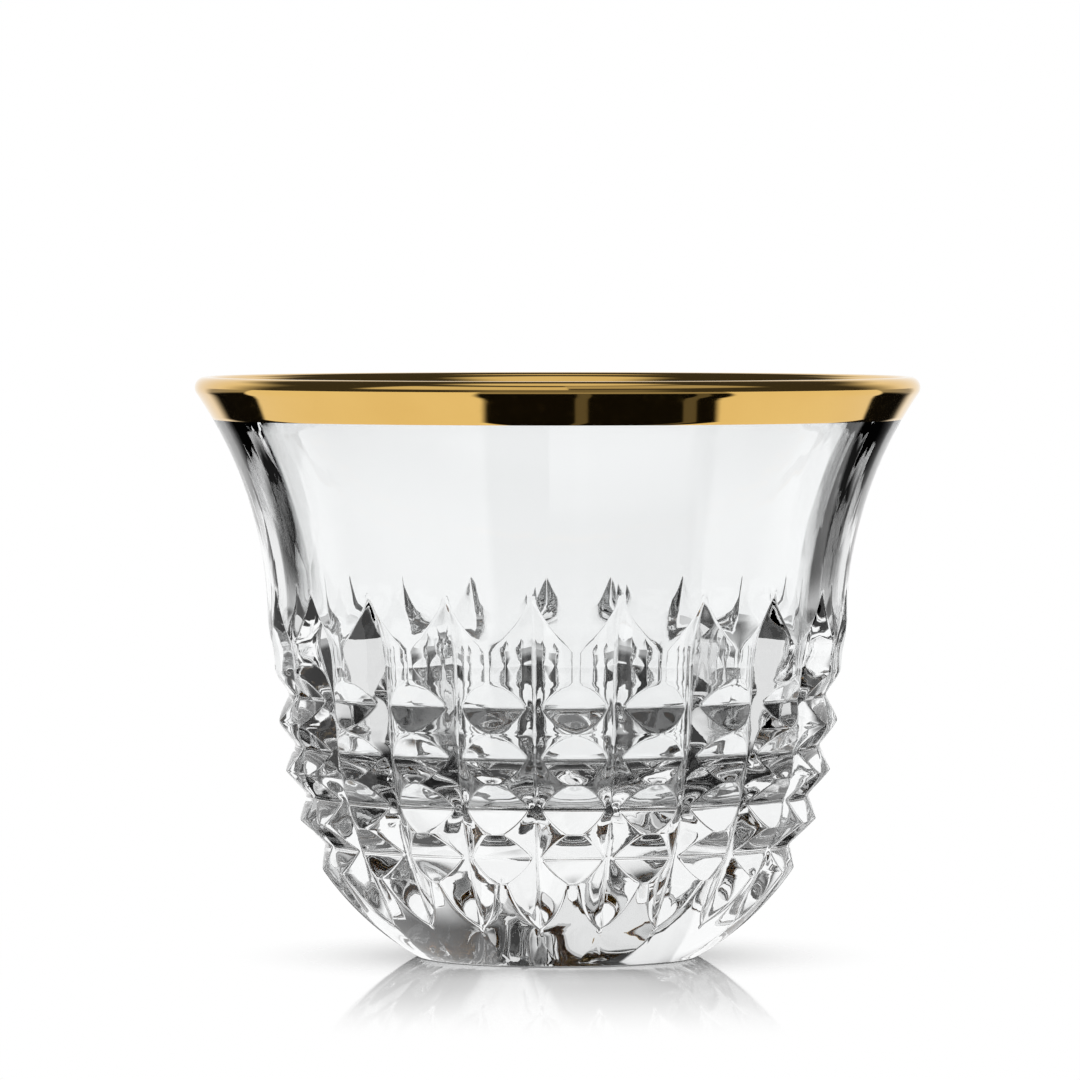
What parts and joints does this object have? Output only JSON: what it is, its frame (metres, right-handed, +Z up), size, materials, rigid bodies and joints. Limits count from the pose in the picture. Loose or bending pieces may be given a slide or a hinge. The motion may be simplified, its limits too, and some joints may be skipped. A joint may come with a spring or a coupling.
{
  "type": "arabic coffee cup",
  "caption": "Small footless coffee cup of cut crystal: flared bell, flutes, rows of diamonds and a gold rim band.",
  "frame": {"origin": "centre of the standing ring, on the table", "axes": "+Z up along the cup's axis; a column of diamonds faces -Y"},
  "size_m": [0.075, 0.075, 0.06],
  "materials": {
    "crystal": "clear fire-polished lead-free crystal",
    "fired_gold": "bright fired gold, mirror polished"
  },
  "bodies": {
    "root": {"crystal_cup": "crystal", "gold_rim_band": "fired_gold"}
  },
  "joints": []
}
